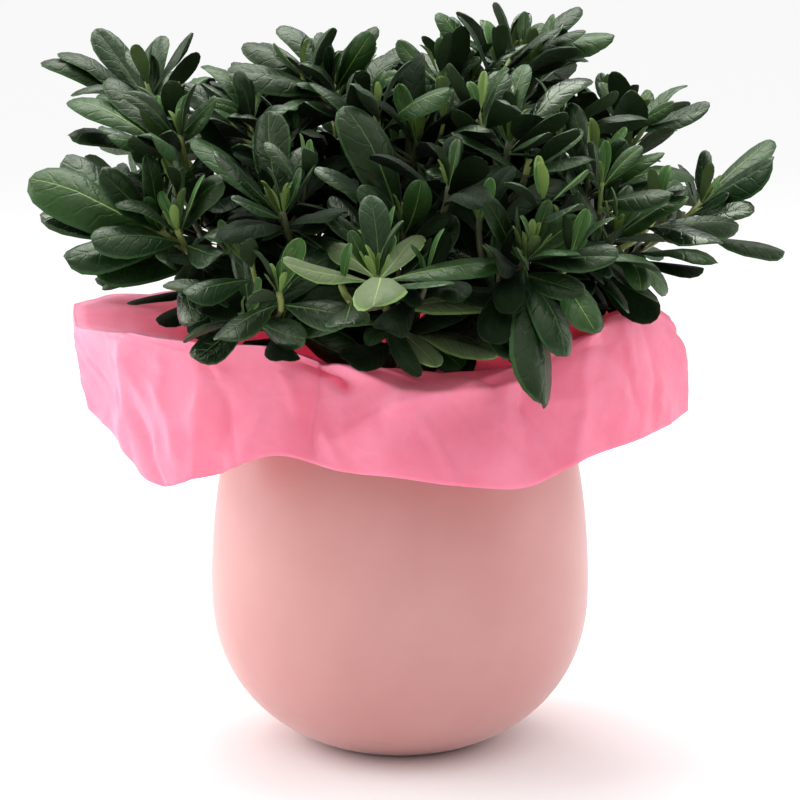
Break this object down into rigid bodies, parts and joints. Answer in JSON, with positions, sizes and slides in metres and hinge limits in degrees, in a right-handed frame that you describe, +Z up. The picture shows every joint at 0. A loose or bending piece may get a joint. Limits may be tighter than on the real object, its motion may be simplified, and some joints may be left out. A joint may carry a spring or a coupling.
{
  "type": "azalea shrub in a pot",
  "caption": "Compact evergreen azalea shrub, out of flower, in a round-bellied pink ceramic pot with a flared collar of pink tissue paper folded over its rim",
  "frame": {"origin": "the middle of the pot's flat underside, on the surface that it stands on", "axes": "+Z up, -Y to the front, +X to the right as seen from the front"},
  "size_m": [0.2946, 0.2934, 0.2896],
  "materials": {
    "pot": "smooth matte pink glaze",
    "paper": "matte tissue paper with soft creases",
    "root_ball": "damp crumbly peat",
    "wood": "thin brown bark, green towards the tips",
    "leaves": "leathery dark green leaves with a soft sheen"
  },
  "bodies": {
    "root": {"bough_back": "wood", "bough_back_left": "wood", "bough_back_right": "wood", "bough_front": "wood", "bough_front_left": "wood", "bough_front_right": "wood", "bough_left": "wood", "bough_right": "wood", "bough_top": "wood", "foliage_back_high": "leaves", "foliage_back_left_far": "leaves", "foliage_back_left_high": "leaves", "foliage_back_left_low": "leaves", "foliage_back_low": "leaves", "foliage_back_right_far": "leaves", "foliage_back_right_high": "leaves", "foliage_back_right_low": "leaves", "foliage_back_top": "leaves", "foliage_front_left_high": "leaves", "foliage_front_left_low": "leaves", "foliage_front_low": "leaves", "foliage_front_middle": "leaves", "foliage_front_right_high": "leaves", "foliage_front_right_low": "leaves", "foliage_left_high": "leaves", "foliage_left_inner": "leaves", "foliage_left_low": "leaves", "foliage_left_middle": "leaves", "foliage_right_far": "leaves", "foliage_right_high": "leaves", "foliage_right_low": "leaves", "foliage_right_middle": "leaves", "foliage_top_front": "leaves", "foliage_top_left": "leaves", "foliage_top_middle": "leaves", "foliage_top_right": "leaves", "paper_wrap": "paper", "pot": "pot", "root_ball": "root_ball", "trunk": "wood"}
  },
  "joints": []
}
